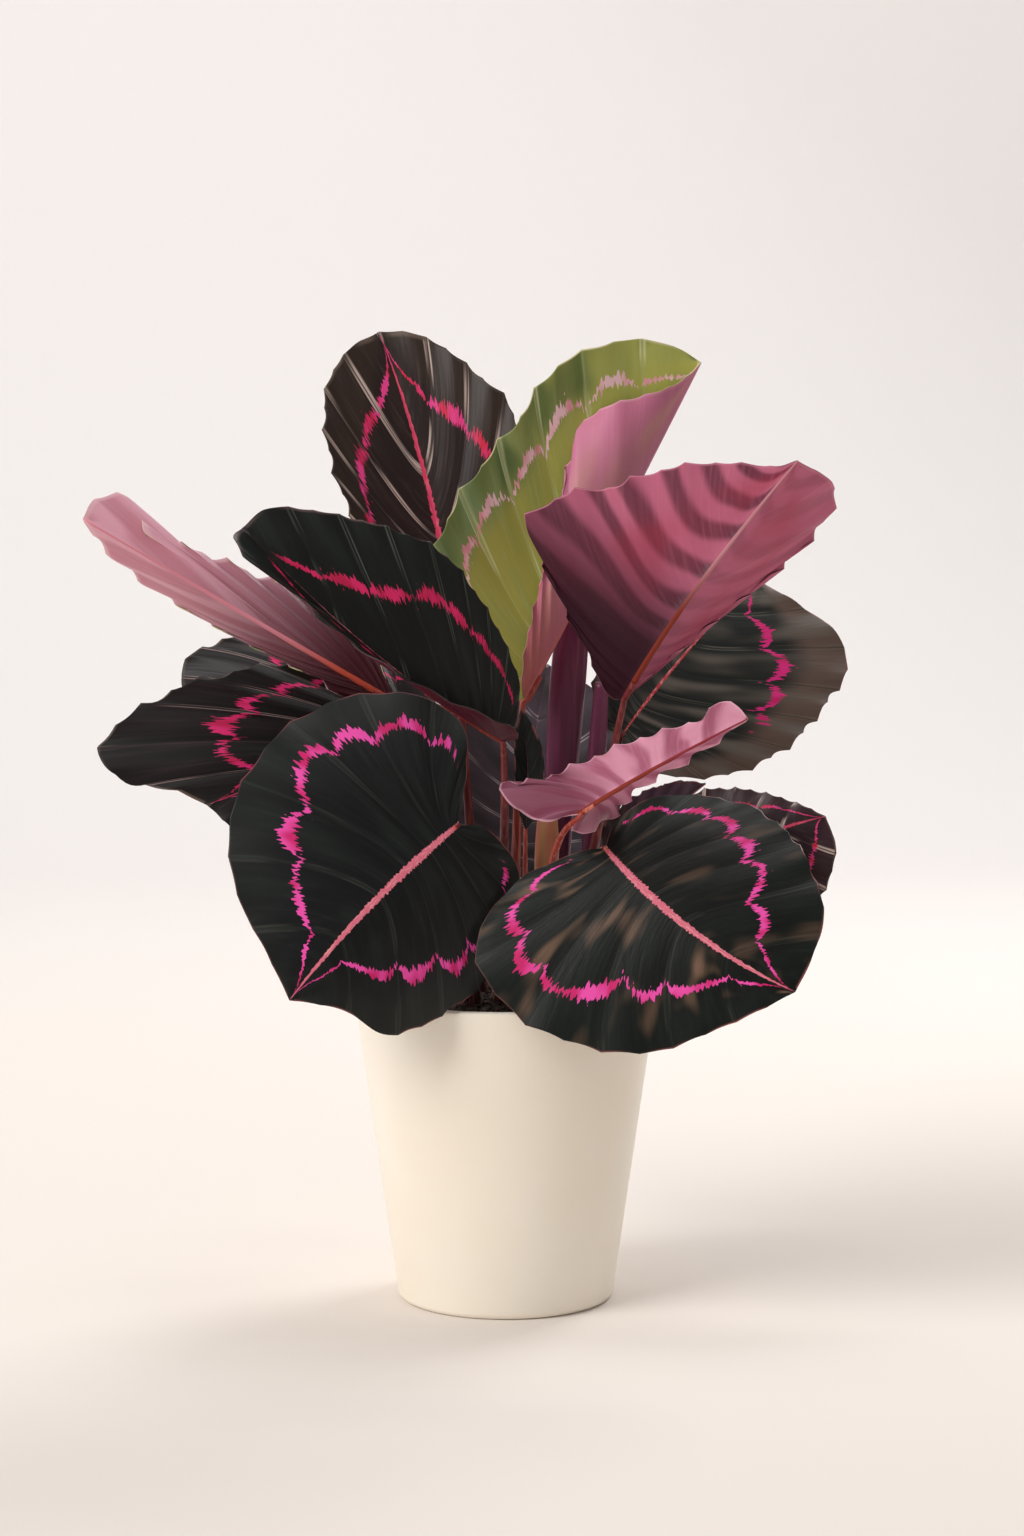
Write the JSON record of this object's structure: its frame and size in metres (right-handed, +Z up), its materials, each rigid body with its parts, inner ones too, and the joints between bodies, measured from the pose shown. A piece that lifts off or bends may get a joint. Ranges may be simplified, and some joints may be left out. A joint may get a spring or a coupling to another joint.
{
  "type": "potted calathea plant",
  "caption": "Potted calathea roseopicta: broad dark oval leaves with a rose ring and midrib, plum undersides, slim stalks, in a tapered cream pot.",
  "frame": {"origin": "middle of the pot's flat base, on the surface it stands on", "axes": "+Z up along the pot's axis, -Y towards the viewer of the plant's best side, +X to that viewer's right"},
  "size_m": [0.3534, 0.1909, 0.4464],
  "materials": {
    "pot": "satin cream glaze",
    "peat": "rough dark peat",
    "leaf": "satin, dark green above with rose markings, rose to plum below",
    "young_leaf": "satin olive green with a pale pink ring, pink below",
    "stalk_plum": "satin plum",
    "stalk_orange": "satin orange red"
  },
  "bodies": {
    "root": {"pot": "pot", "soil": "peat", "stalk_front_left": "stalk_plum", "stalk_front_right": "stalk_orange", "stalk_mid_left": "stalk_plum", "stalk_back_left": "stalk_plum", "stalk_young": "stalk_orange", "stalk_right_top": "stalk_plum", "stalk_right": "stalk_plum", "stalk_low_centre": "stalk_orange", "stalk_left_high": "stalk_plum", "stalk_left_low": "stalk_plum", "stalk_left_back": "stalk_plum", "stalk_right_low_back": "stalk_plum", "stalk_right_low": "stalk_plum", "stalk_back": "stalk_plum", "stalk_inner": "stalk_orange", "blade_front_left": "leaf", "blade_front_right": "leaf", "blade_mid_left": "leaf", "blade_back_left": "leaf", "blade_young": "young_leaf", "blade_right_top": "leaf", "blade_right": "leaf", "blade_low_centre": "leaf", "blade_left_high": "leaf", "blade_left_low": "leaf", "blade_left_back": "leaf", "blade_right_low_back": "leaf", "blade_right_low": "leaf", "blade_back": "leaf", "blade_inner": "leaf", "rolled_leaf": "stalk_plum", "rolled_leaf_small": "stalk_plum", "sheath": "stalk_orange"}
  },
  "joints": []
}
